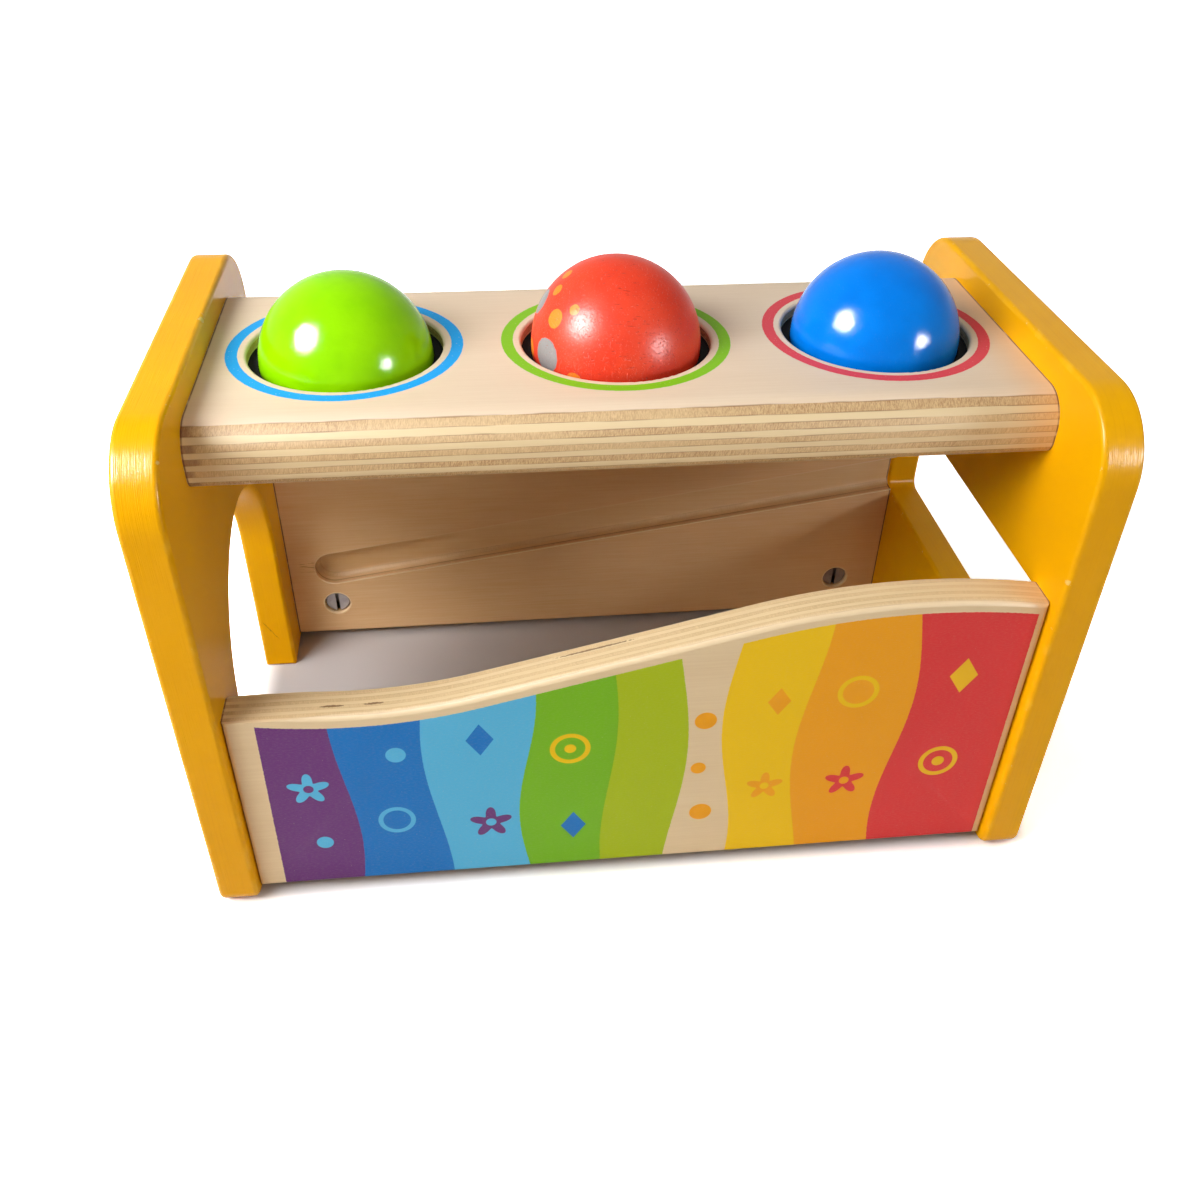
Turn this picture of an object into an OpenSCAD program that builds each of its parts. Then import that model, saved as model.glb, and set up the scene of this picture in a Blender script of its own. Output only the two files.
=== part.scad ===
// Ball pounding bench: two painted plywood sides, a thick hole plate, a wavy front panel and a
// back panel with sloping tray runners, held by bolts in barrel nuts. Three wooden balls sit in
// elastic rings in the plate and are knocked through, to roll out under the arch on the left.

/* [Sides] */
// Clear length between the two sides
inner_l = 240; // [225:1:290]
// Depth of a side from front to back
side_d = 148; // [144:1:180]
// Height of a side
side_h = 164; // [160:1:190]
// Thickness of a side
side_t = 12; // [11:0.5:16]
// Radius of the upper corners of a side
side_top_r = 22; // [10:1:36]
// Radius of the lower corners of a side
side_foot_r = 6; // [5:0.5:12]
// Round-over on the edges of a side
side_edge_r = 1.5; // [0.5:0.25:4]

/* [Ball exit] */
// Width of the arch in the left side
arch_w = 88; // [60:1:94]
// Height of the crown of the arch
arch_h = 102.5; // [70:0.5:120]

/* [Top plate] */
// Depth of the plate
plate_d = 96; // [88:1:100]
// Thickness of the plate
plate_t = 18; // [16:0.5:24]
// Depth of the plate's upper face below the tops of the sides
plate_top = 8.5; // [4:0.5:24]
// Distance of the plate's front edge behind the sides' front edge
plate_setback = 27; // [22:0.5:30]
// Round-over on the upper long edges of the plate
plate_top_r = 10; // [2:0.5:11]
// Round-over on the lower long edges of the plate
plate_edge_r = 4.5; // [1:0.5:6]
// Distance between the ball holes
hole_pitch = 80; // [76:0.5:82]
// Diameter of the ball holes
hole_d = 57; // [54:0.5:59]
// Distance of the hole centres behind the middle of the plate
hole_setback = 1; // [0:0.5:4]
// Round-over on the upper rim of the holes
hole_rim_r = 1; // [0.5:0.25:1.5]

/* [Balls] */
// Diameter of the balls
ball_d = 51; // [48:0.5:53]
// Depth of the green ball's centre below the upper face of the plate
green_sink = 3.9; // [0:0.1:5]
// Depth of the red ball's centre below the upper face of the plate
red_sink = 1.1; // [0:0.1:5]
// Depth of the blue ball's centre below the upper face of the plate
blue_sink = 2.1; // [0:0.1:5]

/* [Grip rings] */
// Outer diameter of the elastic rings
ring_d = 63; // [61:0.5:65]
// Height of the elastic rings
ring_h = 14.5; // [7:0.5:15]
// Diameter of the opening in the lip of the rings
ring_lip_d = 46.5; // [44:0.5:47]

/* [Front panel] */
// Distance of the front panel behind the sides' front edge
front_inset = 4; // [1:0.5:8]
// Thickness of the front and back panels
panel_t = 12; // [11:0.5:14]
// Height of the panels' lower edges above the ground
panel_lift = 3; // [1:0.5:6]
// Round-over on the ends and long straight edges of the front and back panels
panel_edge_r = 1.5; // [0.5:0.25:2.5]
// Height of the low end of the front panel's upper edge
wave_low = 74.5; // [72:0.5:85]
// Height of the high end of the front panel's upper edge
wave_high = 104.5; // [90:0.5:125]
// Slope of the straight middle of the wave, in degrees
wave_slope = 13.7; // [11:0.1:18]
// Radius of the hollow of the wave
wave_hollow_r = 160; // [60:5:260]
// Radius of the crest of the wave
wave_crest_r = 210; // [60:5:300]
// Sideways place of the middle of the wave
wave_x = -2.5; // [-15:0.5:15]

/* [Back panel] */
// Distance of the back panel from the sides' back edge
back_inset = 2; // [1:0.5:6]
// Gap between the back panel's upper edge and the plate
back_top = 7.5; // [1:0.5:12]

/* [Tray runners] */
// Slope of the runner grooves, in degrees
runner_slope = 8.4; // [6:0.1:9]
// Width of the runner grooves
runner_w = 14.4; // [10:0.2:15]
// Depth of the runner grooves
runner_depth = 5.5; // [3:0.25:6]
// Fillet along the floor of the runner grooves
runner_fillet = 2.5; // [1:0.25:2.75]
// Height of a groove's lower edge where it points at the left side
runner_z = 24.9; // [24:0.1:27]
// Distance of the closed end of the grooves from the left side
runner_end = 10.3; // [8:0.1:20]
// Height of the tray slot in the right side
slot_h = 39.8; // [30:0.1:45]
// Depth of the slot's sill below the runner grooves
slot_drop = 1.5; // [0.5:0.1:3]
// Corner radius of the tray slot
slot_r = 3; // [2:0.5:6]

/* [Fasteners] */
// Diameter of the bolts
bolt_d = 6; // [5:0.5:6.5]
// Diameter of the bolt heads
bolt_head_d = 10; // [9:0.5:11]
// Height of the bolt heads
bolt_head_h = 4; // [3:0.25:5]
// Depth of the bolt heads below the outer face of the side
bolt_sink = 0.5; // [0.2:0.1:1]
// Width across the flats of the socket in the bolt heads
socket_w = 4; // [3:0.5:5]
// Depth of the socket in the bolt heads
socket_depth = 2.5; // [1.5:0.25:2.75]
// Length of bolt past the middle of its nut
bolt_past = 6; // [5.5:0.5:8]
// Diameter of the barrel nuts
nut_d = 10; // [8:0.5:10.5]
// Distance of the panels' barrel nuts from the sides
nut_reach = 17; // [15:0.5:18]
// How far the plate's barrel nuts lie from the sides beyond the wood beside its rings
plate_nut_in = 2.5; // [0:0.25:3]
// Wood left behind the blind hole of a barrel nut
nut_skin = 2; // [1.5:0.25:2.5]
// Depth of a barrel nut below the face that it is set in
nut_sink = 0.6; // [0.1:0.1:0.6]
// Width of the screwdriver slot in a barrel nut
nut_slot_w = 1.4; // [1:0.1:2]
// Depth of the screwdriver slot in a barrel nut
nut_slot_depth = 1.5; // [0.5:0.1:1.8]
// Height of the lower bolts of both panels
low_bolt_z = 17.6; // [14:0.1:18]
// Height of the upper bolts of the front panel
front_bolt_z = 49; // [48:0.5:50]
// Distance of the back panel's upper bolts below its upper edge
back_bolt_drop = 15; // [12:0.5:18]
// Distance of the plate's bolts from its long edges
plate_bolt_y = 12; // [11:0.5:12.5]
// Diameter of the dowels
dowel_d = 8; // [6:0.5:8]
// Depth of the dowels in the sides
dowel_in_side = 8; // [6:0.5:9]
// Depth of the dowels in the panels
dowel_in_panel = 18; // [12:0.5:22]
// Depth of the dowels in the plate
dowel_in_plate = 10; // [8:0.5:11]
// Height of the panels' dowels at the left side
dowel_left_z = 64; // [60:0.5:66]
// Height of the panels' dowels at the right side
dowel_right_z = 33; // [30:0.5:36]
// Distance of the plate's dowels in front of the middle of its depth
plate_dowel_y = 16; // [12:0.5:18]

/* [Hidden] */
$fn = 96;

// Clearances: board ends, elastic ring round its ball, ring in its seat, bolts, nuts and dowels
end_gap = 0.05;
ball_gap = 0.3;
ring_gap = 0.05;
bolt_gap = 0.2;
nut_gap = 0.1;
dowel_gap = 0.05;
dowel_end_gap = 0.5;
bolt_end_gap = 1;

// How far a cut runs past the face that it opens
past = 1;

// Planes across the bench
in_x = inner_l / 2;
out_x = in_x + side_t;
board_l = inner_l - 2 * end_gap;

// Planes from front to back
front_y = -side_d / 2 + front_inset;
front_in_y = front_y + panel_t;
back_out_y = side_d / 2 - back_inset;
back_in_y = back_out_y - panel_t;
plate_y = -side_d / 2 + plate_setback + plate_d / 2;
hole_y = plate_y + hole_setback;

// Heights
plate_top_z = side_h - plate_top;
plate_z = plate_top_z - plate_t;
back_top_z = plate_z - back_top;
back_bolt_z = back_top_z - back_bolt_drop;

// Tray runners: the lower edge at the right side sets the sill of the slot
runner_rise = inner_l * tan(runner_slope);
slot_z = runner_z + runner_rise - slot_drop;
slot_y0 = front_in_y - runner_depth;
slot_y1 = back_in_y + runner_depth;

// The wave: where the slope would meet the flats, and where its two arcs begin and end
board_x = board_l / 2;
low_x = wave_x - (wave_high - wave_low) / tan(wave_slope) / 2;
high_x = wave_x + (wave_high - wave_low) / tan(wave_slope) / 2;
hollow_x = low_x - wave_hollow_r * tan(wave_slope / 2);
crest_x = high_x + wave_crest_r * tan(wave_slope / 2);
hollow_end = [hollow_x + wave_hollow_r * sin(wave_slope), wave_low + wave_hollow_r * (1 - cos(wave_slope))];
crest_end = [crest_x - wave_crest_r * sin(wave_slope), wave_high - wave_crest_r * (1 - cos(wave_slope))];

// Fastener places at one end of a board as [y, z], and for a bolt its nut's distance from the side
plate_nut_reach = (plate_d - ring_d) / 2 + plate_nut_in;
plate_bolt_places = [for (s = [-1, 1])
    [plate_y + s * (plate_d / 2 - plate_bolt_y), plate_z + plate_t / 2, plate_nut_reach]];
front_bolt_places = [for (z = [low_bolt_z, front_bolt_z]) [front_y + panel_t / 2, z, nut_reach]];
back_bolt_places = [for (z = [low_bolt_z, back_bolt_z]) [back_in_y + panel_t / 2, z, nut_reach]];
bolt_places = concat(plate_bolt_places, front_bolt_places, back_bolt_places);

function dowel_z(end) = end < 0 ? dowel_left_z : dowel_right_z;
function plate_dowel_place() = [plate_y - plate_dowel_y, plate_z + plate_t / 2];
function front_dowel_place(end) = [front_y + panel_t / 2, dowel_z(end)];
function back_dowel_place(end) = [back_in_y + panel_t / 2, dowel_z(end)];

// Turns what is made for the right end to either end
module at_end(end) {
    if (end < 0)
        mirror([1, 0, 0]) children();
    else
        children();
}

// Stands an outline drawn in [y, z] up and gives it thickness along x
module upright(t) {
    rotate([90, 0, 90]) linear_extrude(t) children();
}

// Half of a rounded board edge: s outwards by e, across the thickness t
module edge_profile(e, t) {
    translate([0, e]) square([e, t - 2 * e]);
    intersection() {
        square([e, e]);
        translate([0, e]) circle(e);
    }
    intersection() {
        translate([0, t - e]) square([e, e]);
        translate([0, t - e]) circle(e);
    }
}

// One straight run of a rounded edge, from p in direction a, with the outside on its right
module edge_run(p, a, l, e, t) {
    translate(p) rotate([0, 0, a]) rotate([90, 0, 90]) linear_extrude(l)
        mirror([1, 0]) edge_profile(e, t);
}

// A rounded corner of radius r about c that starts at angle a
module edge_corner(c, a, r, e, t) {
    translate(c) rotate([0, 0, a]) rotate_extrude(angle = 90)
        translate([r - e, 0]) edge_profile(e, t);
}

// A quarter disc that fills the core of a corner
module corner_core(c, a, r) {
    translate(c) rotate(a) intersection() {
        square(r);
        circle(r);
    }
}

// The blank of a side in its own plane, with every edge rounded
module side_blank() {
    w = side_d / 2;
    e = side_edge_r;
    rt = side_top_r;
    rf = side_foot_r;
    linear_extrude(side_t) {
        translate([-w + e, rf]) square([side_d - 2 * e, side_h - rt - rf]);
        translate([-w + rt, side_h - rt]) square([side_d - 2 * rt, rt - e]);
        translate([-w + rf, e]) square([side_d - 2 * rf, rf - e]);
        corner_core([w - rt, side_h - rt], 0, rt - e);
        corner_core([-w + rt, side_h - rt], 90, rt - e);
        corner_core([-w + rf, rf], 180, rf - e);
        corner_core([w - rf, rf], 270, rf - e);
    }
    edge_corner([w - rt, side_h - rt, 0], 0, rt, e, side_t);
    edge_corner([-w + rt, side_h - rt, 0], 90, rt, e, side_t);
    edge_corner([-w + rf, rf, 0], 180, rf, e, side_t);
    edge_corner([w - rf, rf, 0], 270, rf, e, side_t);
    edge_run([-w + rf, e, 0], 0, side_d - 2 * rf, e, side_t);
    edge_run([w - e, rf, 0], 90, side_h - rt - rf, e, side_t);
    edge_run([w - rt, side_h - e, 0], 180, side_d - 2 * rt, e, side_t);
    edge_run([-w + e, side_h - rt, 0], 270, side_h - rt - rf, e, side_t);
}

// What a round-over of radius e takes off the corner of an opening
module flare_profile(e) {
    difference() {
        translate([-past, -past]) square([e + past, e + past]);
        translate([e, e]) circle(e);
        translate([e, -past]) square([past, e + past]);
    }
}

// A straight run of that round-over from p in direction a, with the wood on its left
module flare_run(p, a, l, e) {
    translate(p) rotate([0, 0, a]) rotate([90, 0, 90]) linear_extrude(l) flare_profile(e);
}

// A hollow run of it about c from angle a, with the wood outside the radius r
module flare_hollow(c, a, turn, r, e) {
    translate(c) rotate([0, 0, a]) rotate_extrude(angle = turn) translate([r, 0]) flare_profile(e);
}

// Repeats a round-over made for the face at height 0 on the face at height t
module on_both_faces(t) {
    children();
    translate([0, 0, t]) mirror([0, 0, 1]) children();
}

// A rectangle with rounded corners, from the origin
module round_rect(w, h, r) {
    translate([r, 0]) square([w - 2 * r, h]);
    translate([0, r]) square([w, h - 2 * r]);
    for (x = [r, w - r], y = [r, h - r])
        translate([x, y]) circle(r, $fn = 48);
}

// The arched ball exit, cut through a side that lies in its own plane
module arch_cut() {
    r = arch_w / 2;
    cz = arch_h - r;
    e = side_edge_r;
    translate([0, 0, -past]) linear_extrude(side_t + 2 * past) {
        translate([0, cz]) circle(r);
        translate([-r, -past]) square([arch_w, cz + past]);
        for (s = [0, 1])
            mirror([s, 0]) translate([r, 0]) flare_profile(e);
    }
    on_both_faces(side_t) {
        flare_hollow([0, cz, 0], 0, 180, r, e);
        flare_run([-r, -past, 0], 90, cz + past, e);
        flare_run([r, cz, 0], 270, cz + past, e);
    }
}

// The tray slot, cut through a side that lies in its own plane
module slot_cut() {
    r = slot_r;
    e = side_edge_r;
    w = slot_y1 - slot_y0;
    z1 = slot_z + slot_h;
    translate([slot_y0, slot_z, -past]) linear_extrude(side_t + 2 * past) round_rect(w, slot_h, r);
    on_both_faces(side_t) {
        flare_hollow([slot_y1 - r, z1 - r, 0], 0, 90, r, e);
        flare_hollow([slot_y0 + r, z1 - r, 0], 90, 90, r, e);
        flare_hollow([slot_y0 + r, slot_z + r, 0], 180, 90, r, e);
        flare_hollow([slot_y1 - r, slot_z + r, 0], 270, 90, r, e);
        flare_run([slot_y0 + r, z1, 0], 0, w - 2 * r, e);
        flare_run([slot_y0, slot_z + r, 0], 90, slot_h - 2 * r, e);
        flare_run([slot_y1 - r, slot_z, 0], 180, w - 2 * r, e);
        flare_run([slot_y1, z1 - r, 0], 270, slot_h - 2 * r, e);
    }
}

// Shank of one bolt at the right end, grown by a gap
module bolt_form(place, gap, end_room) {
    x = in_x - place[2] - bolt_past - end_room;
    translate([x, place[0], place[1]]) rotate([0, 90, 0])
        cylinder(d = bolt_d + 2 * gap, h = out_x - bolt_sink - x, $fn = 48);
}

// Bore for one bolt, with the counterbore for its head
module bolt_bore(place) {
    bolt_form(place, bolt_gap, bolt_end_gap);
    translate([out_x - bolt_sink - bolt_head_h, place[0], place[1]]) rotate([0, 90, 0])
        cylinder(d = bolt_head_d + 2 * bolt_gap, h = bolt_sink + bolt_head_h + past, $fn = 48);
}

// One bolt with a socket head, sunk in the outer face of the side
module bolt(place) {
    difference() {
        union() {
            bolt_form(place, 0, 0);
            translate([out_x - bolt_sink - bolt_head_h, place[0], place[1]]) rotate([0, 90, 0])
                cylinder(d = bolt_head_d, h = bolt_head_h, $fn = 48);
        }
        translate([out_x - bolt_sink - socket_depth, place[0], place[1]]) rotate([0, 90, 0])
            cylinder(d = socket_w / cos(30), h = socket_depth + past, $fn = 6);
    }
}

// Blind bore for a barrel nut, from the face at height 0 into a board of thickness t
module nut_bore(t) {
    translate([0, 0, -past]) cylinder(d = nut_d + 2 * nut_gap, h = t - nut_skin + past, $fn = 48);
}

// One barrel nut in that bore, cross-drilled for its bolt and slotted for a screwdriver
module barrel_nut(t) {
    difference() {
        translate([0, 0, nut_sink]) cylinder(d = nut_d, h = t - nut_skin - nut_sink - nut_gap, $fn = 48);
        translate([-nut_d, 0, t / 2]) rotate([0, 90, 0])
            cylinder(d = bolt_d + 2 * bolt_gap, h = 2 * nut_d, $fn = 48);
        translate([-nut_slot_w / 2, -nut_d, nut_sink - past])
            cube([nut_slot_w, 2 * nut_d, nut_slot_depth + past]);
    }
}

// Places for the nuts of a board at the right end, with z pointing into its wood
module at_plate_nuts() {
    for (p = plate_bolt_places)
        translate([in_x - p[2], p[0], plate_z]) children();
}
module at_front_nuts() {
    for (p = front_bolt_places)
        translate([in_x - p[2], front_in_y, p[1]]) rotate([90, 0, 0]) children();
}
module at_back_nuts() {
    for (p = back_bolt_places)
        translate([in_x - p[2], back_in_y, p[1]]) rotate([-90, 0, 0]) children();
}

// A dowel across the joint at the right end, or its bore with the gaps added
module dowel(place, depth, gap, end_room) {
    translate([in_x - depth - end_room, place[0], place[1]]) rotate([0, 90, 0])
        cylinder(d = dowel_d + 2 * gap, h = depth + dowel_in_side + 2 * end_room, $fn = 48);
}
module dowel_bore(place, depth) {
    dowel(place, depth, dowel_gap, dowel_end_gap);
}

// All the bores that a side has at one end
module side_bores(end) {
    at_end(end) {
        for (p = bolt_places)
            bolt_bore(p);
        dowel_bore(plate_dowel_place(), dowel_in_plate);
        dowel_bore(front_dowel_place(end), dowel_in_panel);
        dowel_bore(back_dowel_place(end), dowel_in_panel);
    }
}

// Section of a runner groove: width across, depth upwards, with fillets along its floor
module runner_section() {
    w = runner_w / 2;
    f = runner_fillet;
    translate([-w, -past]) square([runner_w, runner_depth - f + past]);
    translate([-w + f, runner_depth - f]) square([runner_w - 2 * f, f]);
    for (s = [-1, 1])
        translate([s * (w - f), runner_depth - f]) circle(f, $fn = 48);
}

// A runner groove with a round closed end at the origin, running along x and cut along z
module runner_cut() {
    rotate([90, 0, 90]) linear_extrude(inner_l) runner_section();
    rotate([0, 0, 90]) rotate_extrude(angle = 180) intersection() {
        runner_section();
        translate([0, -past]) square([runner_w, runner_depth + past]);
    }
}

// Brings a runner groove to the inner face of a panel, with its depth along turn
module at_runner(face_y, turn) {
    x = runner_end + runner_w / 2;
    z = runner_z + x * tan(runner_slope) + runner_w / 2 / cos(runner_slope);
    translate([x - in_x, face_y, z]) rotate([0, -runner_slope, 0]) rotate([turn, 0, 0]) children();
}

// Outline of the front panel in [x, z]: a low flat, a hollow, a slope, a crest and a high flat
module wave_outline() {
    difference() {
        polygon([[-board_x, panel_lift], [board_x, panel_lift], [board_x, wave_high],
            [high_x, wave_high], [low_x, wave_low], [-board_x, wave_low]]);
        difference() {
            polygon([crest_end, [crest_end[0], wave_high + past],
                [crest_x, wave_high + past], [crest_x, wave_high]]);
            translate([crest_x, wave_high - wave_crest_r]) circle(wave_crest_r, $fn = 360);
        }
    }
    difference() {
        polygon([[hollow_x, wave_low], [low_x, wave_low], hollow_end]);
        translate([hollow_x, wave_low + wave_hollow_r]) circle(wave_hollow_r, $fn = 360);
    }
}

// The round-over along the ends and the lower edge of that outline on one face
module wave_flare() {
    e = panel_edge_r;
    flare_run([-board_x - past, panel_lift, 0], 0, 2 * board_x + 2 * past, e);
    flare_run([board_x, panel_lift - past, 0], 90, wave_high - panel_lift + 2 * past, e);
    flare_run([-board_x, wave_low + past, 0], 270, wave_low - panel_lift + 2 * past, e);
}

// A ball hole: the bore with its rounded rim and the seat for the ring below
module ball_hole() {
    translate([0, 0, plate_z - past]) cylinder(d = hole_d, h = plate_t + 2 * past);
    translate([0, 0, plate_z - past]) cylinder(d = ring_d + 2 * ring_gap, h = ring_h + ring_gap + past);
    translate([0, 0, plate_top_z]) rotate_extrude() difference() {
        translate([hole_d / 2 - past, -hole_rim_r]) square([hole_rim_r + past, hole_rim_r + past]);
        translate([hole_d / 2 + hole_rim_r, -hole_rim_r]) circle(hole_rim_r, $fn = 48);
    }
}

// An elastic ring that the ball at depth sink rests in
module grip_ring(column, sink) {
    translate([column * hole_pitch, hole_y, 0]) difference() {
        translate([0, 0, plate_z]) cylinder(d = ring_d, h = ring_h);
        translate([0, 0, plate_z - past]) cylinder(d = ring_lip_d, h = ring_h + 2 * past);
        translate([0, 0, plate_top_z - sink]) sphere(d = ball_d + 2 * ball_gap);
    }
}

// A turned ball in its ring
module ball(column, sink) {
    translate([column * hole_pitch, hole_y, plate_top_z - sink]) sphere(d = ball_d);
}

// Painted side with the arched ball exit
module left_side() {
    color("gold") difference() {
        translate([-out_x, 0, 0]) rotate([90, 0, 90]) difference() {
            side_blank();
            arch_cut();
        }
        side_bores(-1);
    }
}

// Painted side with the slot for a slide-in tray
module right_side() {
    color("gold") difference() {
        translate([in_x, 0, 0]) rotate([90, 0, 90]) difference() {
            side_blank();
            slot_cut();
        }
        side_bores(1);
    }
}

// Section of the plate from its lower front corner, rounded more above than below
module plate_section() {
    r = plate_top_r;
    e = plate_edge_r;
    translate([e, 0]) square([plate_d - 2 * e, e]);
    translate([0, e]) square([plate_d, plate_t - r - e]);
    translate([r, plate_t - r]) square([plate_d - 2 * r, r]);
    corner_core([plate_d - r, plate_t - r], 0, r);
    corner_core([r, plate_t - r], 90, r);
    corner_core([e, e], 180, e);
    corner_core([plate_d - e, e], 270, e);
}

// Thick plywood plate with the three ball holes
module top_plate() {
    color("burlywood") difference() {
        translate([-board_x, plate_y - plate_d / 2, plate_z]) upright(board_l) plate_section();
        for (column = [-1, 0, 1])
            translate([column * hole_pitch, hole_y, 0]) ball_hole();
        for (end = [-1, 1])
            at_end(end) {
                for (p = plate_bolt_places)
                    bolt_bore(p);
                at_plate_nuts() nut_bore(plate_t);
                dowel_bore(plate_dowel_place(), dowel_in_plate);
            }
    }
}

// Printed plywood panel with a wavy upper edge and a runner groove inside
module front_panel() {
    color("moccasin") difference() {
        translate([0, front_in_y, 0]) rotate([90, 0, 0]) difference() {
            linear_extrude(panel_t) wave_outline();
            on_both_faces(panel_t) wave_flare();
        }
        at_runner(front_in_y, 90) runner_cut();
        for (end = [-1, 1])
            at_end(end) {
                for (p = front_bolt_places)
                    bolt_bore(p);
                at_front_nuts() nut_bore(panel_t);
                dowel_bore(front_dowel_place(end), dowel_in_panel);
            }
    }
}

// Plain plywood panel with a runner groove inside
module back_panel() {
    color("moccasin") difference() {
        translate([-board_x, back_in_y, panel_lift]) upright(board_l)
            round_rect(panel_t, back_top_z - panel_lift, panel_edge_r);
        at_runner(back_in_y, -90) runner_cut();
        for (end = [-1, 1])
            at_end(end) {
                for (p = back_bolt_places)
                    bolt_bore(p);
                at_back_nuts() nut_bore(panel_t);
                dowel_bore(back_dowel_place(end), dowel_in_panel);
            }
    }
}

// Three lacquered wooden balls
module green_ball() {
    color("limegreen") ball(-1, green_sink);
}
module red_ball() {
    color("tomato") ball(0, red_sink);
}
module blue_ball() {
    color("dodgerblue") ball(1, blue_sink);
}

// Three elastic rings, glued into their seats in the underside of the plate
module left_grip_ring() {
    color("dimgray") grip_ring(-1, green_sink);
}
module middle_grip_ring() {
    color("dimgray") grip_ring(0, red_sink);
}
module right_grip_ring() {
    color("dimgray") grip_ring(1, blue_sink);
}

// Bolts through both sides into the plate and the panels
module top_bolts() {
    color("silver") for (end = [-1, 1], p = plate_bolt_places)
        at_end(end) bolt(p);
}
module front_bolts() {
    color("silver") for (end = [-1, 1], p = front_bolt_places)
        at_end(end) bolt(p);
}
module back_bolts() {
    color("silver") for (end = [-1, 1], p = back_bolt_places)
        at_end(end) bolt(p);
}

// Barrel nuts that the bolts pull on
module top_barrel_nuts() {
    color("gray") for (end = [-1, 1])
        at_end(end) at_plate_nuts() barrel_nut(plate_t);
}
module front_barrel_nuts() {
    color("gray") for (end = [-1, 1])
        at_end(end) at_front_nuts() barrel_nut(panel_t);
}
module back_barrel_nuts() {
    color("gray") for (end = [-1, 1])
        at_end(end) at_back_nuts() barrel_nut(panel_t);
}

// Dowels that keep the boards from turning
module top_dowels() {
    color("wheat") for (end = [-1, 1])
        at_end(end) dowel(plate_dowel_place(), dowel_in_plate, 0, 0);
}
module front_dowels() {
    color("wheat") for (end = [-1, 1])
        at_end(end) dowel(front_dowel_place(end), dowel_in_panel, 0, 0);
}
module back_dowels() {
    color("wheat") for (end = [-1, 1])
        at_end(end) dowel(back_dowel_place(end), dowel_in_panel, 0, 0);
}

left_side();
right_side();
top_plate();
front_panel();
back_panel();
green_ball();
red_ball();
blue_ball();
left_grip_ring();
middle_grip_ring();
right_grip_ring();
top_bolts();
front_bolts();
back_bolts();
top_barrel_nuts();
front_barrel_nuts();
back_barrel_nuts();
top_dowels();
front_dowels();
back_dowels();
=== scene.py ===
import math

import bmesh
import bpy
from mathutils import Matrix, Vector, noise


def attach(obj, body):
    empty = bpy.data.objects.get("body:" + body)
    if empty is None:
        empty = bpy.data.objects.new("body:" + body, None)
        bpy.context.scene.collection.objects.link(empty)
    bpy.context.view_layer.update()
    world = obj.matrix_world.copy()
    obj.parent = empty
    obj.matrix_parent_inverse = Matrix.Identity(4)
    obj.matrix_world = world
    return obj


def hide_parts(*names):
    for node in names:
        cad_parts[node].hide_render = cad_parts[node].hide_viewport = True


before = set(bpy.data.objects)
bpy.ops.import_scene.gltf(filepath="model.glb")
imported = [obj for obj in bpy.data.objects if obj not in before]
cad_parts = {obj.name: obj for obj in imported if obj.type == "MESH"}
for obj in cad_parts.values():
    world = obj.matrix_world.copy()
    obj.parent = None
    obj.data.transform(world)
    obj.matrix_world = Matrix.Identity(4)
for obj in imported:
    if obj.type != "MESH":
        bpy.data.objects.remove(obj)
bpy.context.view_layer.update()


# The two sides. Each is a 12 mm birch plywood board, sawn, routed and rounded over, with an arch in the
# left one and a slot for a tray in the right one. Glossy yellow paint covers them all round: the plies
# show through it as fine lines on the edges, and it is chipped here and there along the arrises.

class Wire:
    """One output in a node tree. Arithmetic on it adds Math nodes."""

    def __init__(self, tree, socket=None):
        self.tree = tree
        self.socket = socket

    def make(self, kind, settings=None, sockets=None, out=0):
        """A node of that kind: its settings come first, then the values or wires of its sockets."""
        node = self.tree.nodes.new(kind)
        for name, value in (settings or {}).items():
            setattr(node, name, value)
        for name, value in (sockets or {}).items():
            for one in value if isinstance(value, list) else [value]:
                if isinstance(one, Wire):
                    self.tree.links.new(one.socket, node.inputs[name])
                else:
                    node.inputs[name].default_value = one
        return Wire(self.tree, node.outputs[out] if len(node.outputs) else None)

    def also(self, out):
        """Another output of the node that this one comes from."""
        return Wire(self.tree, self.socket.node.outputs[out])

    def math(self, operation, *values):
        """A Math node on those values."""
        return self.make("ShaderNodeMath", {"operation": operation}, dict(enumerate(values)))

    def __add__(self, other):
        return self.math("ADD", self, other)

    __radd__ = __add__

    def __sub__(self, other):
        return self.math("SUBTRACT", self, other)

    def __rsub__(self, other):
        return self.math("SUBTRACT", other, self)

    def __mul__(self, other):
        return self.math("MULTIPLY", self, other)

    __rmul__ = __mul__

    def __truediv__(self, other):
        return self.math("DIVIDE", self, other)

    def __rtruediv__(self, other):
        return self.math("DIVIDE", other, self)

    def __pow__(self, other):
        return self.math("POWER", self, other)

    def __abs__(self):
        return self.math("ABSOLUTE", self)

    def least(self, other):
        return self.math("MINIMUM", self, other)

    def most(self, other):
        return self.math("MAXIMUM", self, other)

    def ease(self, low, high):
        """0 at low and 1 at high, with a smooth step between them."""
        return self.make("ShaderNodeMapRange", {"interpolation_type": "SMOOTHSTEP"},
                         {"Value": self, "From Min": low, "From Max": high})

    def mix(self, under, over):
        """The colour under where this is 0, and the colour over where it is 1."""
        return self.make("ShaderNodeMix", {"data_type": "RGBA"}, {0: self, 6: under, 7: over}, out=2)


def shade(red, green, blue):
    """A colour as a colour picker shows it, 0 to 255, made linear."""
    parts = [c / 255 for c in (red, green, blue)]
    return tuple(c / 12.92 if c <= 0.04045 else ((c + 0.055) / 1.055) ** 2.4 for c in parts) + (1.0,)


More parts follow.
